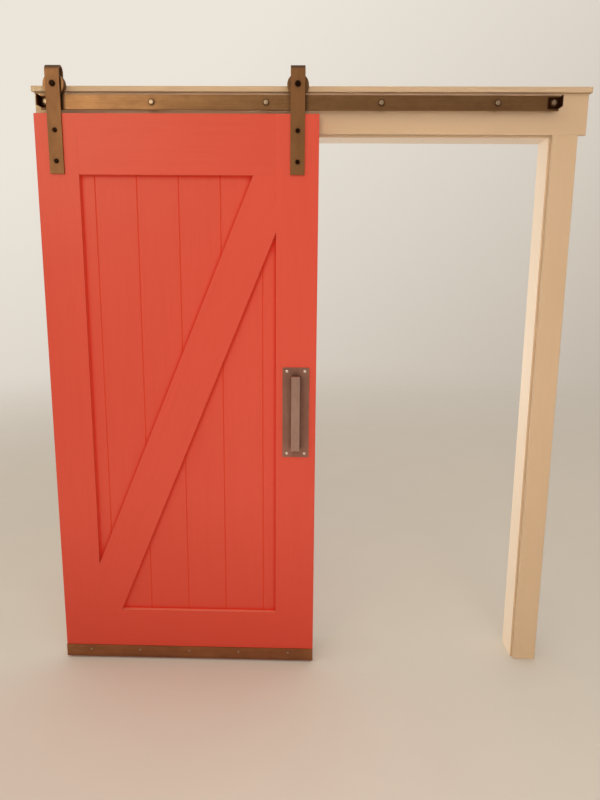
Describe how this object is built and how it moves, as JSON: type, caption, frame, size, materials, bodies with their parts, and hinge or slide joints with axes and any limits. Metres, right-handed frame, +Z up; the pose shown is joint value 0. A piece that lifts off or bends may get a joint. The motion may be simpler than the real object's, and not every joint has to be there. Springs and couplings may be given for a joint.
{
  "type": "sliding barn door",
  "caption": "Plank barn door with a diagonal brace that slides along a flat wall rail on wheeled strap hangers, with its painted door frame and header.",
  "frame": {"origin": "on the floor, at the middle of the doorway, in the plane of the wall's face", "axes": "+Z up, +X to the right seen from the room, the way the door closes, +Y into the wall"},
  "size_m": [1.9972, 0.2304, 2.2877],
  "materials": {
    "door_paint": "satin coral paint over wood",
    "frame_paint": "satin cream-white paint over wood",
    "rail_steel": "brown-toned brushed steel",
    "strap_steel": "brown-toned brushed steel",
    "stop_steel": "dark steel",
    "black_bolt": "black oxide",
    "bright_screw": "bright zinc",
    "wheel_steel": "turned steel",
    "bearing_steel": "ground steel",
    "spacer_steel": "dark turned steel",
    "pull_steel": "brushed steel",
    "strip_steel": "brown-toned brushed steel",
    "guide_steel": "dark steel"
  },
  "bodies": {
    "frame": {"left_jamb": "frame_paint", "right_jamb": "frame_paint", "head_jamb": "frame_paint", "left_casing": "frame_paint", "right_casing": "frame_paint", "header_board": "frame_paint", "header_cap": "frame_paint", "rail": "rail_steel", "rail_spacers": "spacer_steel", "lag_bolts": "bright_screw", "lag_washers": "stop_steel", "left_stop": "stop_steel", "right_stop": "stop_steel", "guide_bracket": "guide_steel", "guide_screws": "bright_screw"},
    "door": {"left_stile": "door_paint", "right_stile": "door_paint", "top_rail": "door_paint", "bottom_rail": "door_paint", "diagonal_brace": "door_paint", "foot_strip": "strip_steel", "strip_screws": "bright_screw", "pull_plate": "pull_steel", "pull_bar": "pull_steel", "pull_screws": "bright_screw", "left_hanger_strap": "strap_steel", "right_hanger_strap": "strap_steel", "hanger_bolts": "black_bolt", "hanger_washers": "black_bolt", "hanger_nuts": "black_bolt", "axle_bolts": "black_bolt", "axle_sleeves": "bearing_steel", "axle_washers": "bearing_steel", "plank_1": "door_paint", "plank_2": "door_paint", "plank_3": "door_paint", "plank_4": "door_paint", "plank_5": "door_paint", "plank_6": "door_paint"},
    "left_wheel": {"left_wheel": "wheel_steel", "left_wheel_bearing": "bearing_steel"},
    "right_wheel": {"right_wheel": "wheel_steel", "right_wheel_bearing": "bearing_steel"}
  },
  "joints": [
    {"name": "door_slide", "type": "slide", "parent": "frame", "child": "door", "axis": [1, 0, 0], "range_m": [-0.0217, 0.8825]},
    {"name": "left_wheel_spin", "type": "hinge", "parent": "door", "child": "left_wheel", "pos_m": [-1.3114, -0.05772, 2.22285], "axis": [0, 1, 0], "continuous": true},
    {"name": "right_wheel_spin", "type": "hinge", "parent": "door", "child": "right_wheel", "pos_m": [-0.4478, -0.05772, 2.22285], "axis": [0, 1, 0], "continuous": true}
  ],
  "couplings": [
    {"joint": "left_wheel_spin", "follows": "door_slide", "rad_per_m": 31.496},
    {"joint": "right_wheel_spin", "follows": "door_slide", "rad_per_m": 31.496}
  ]
}
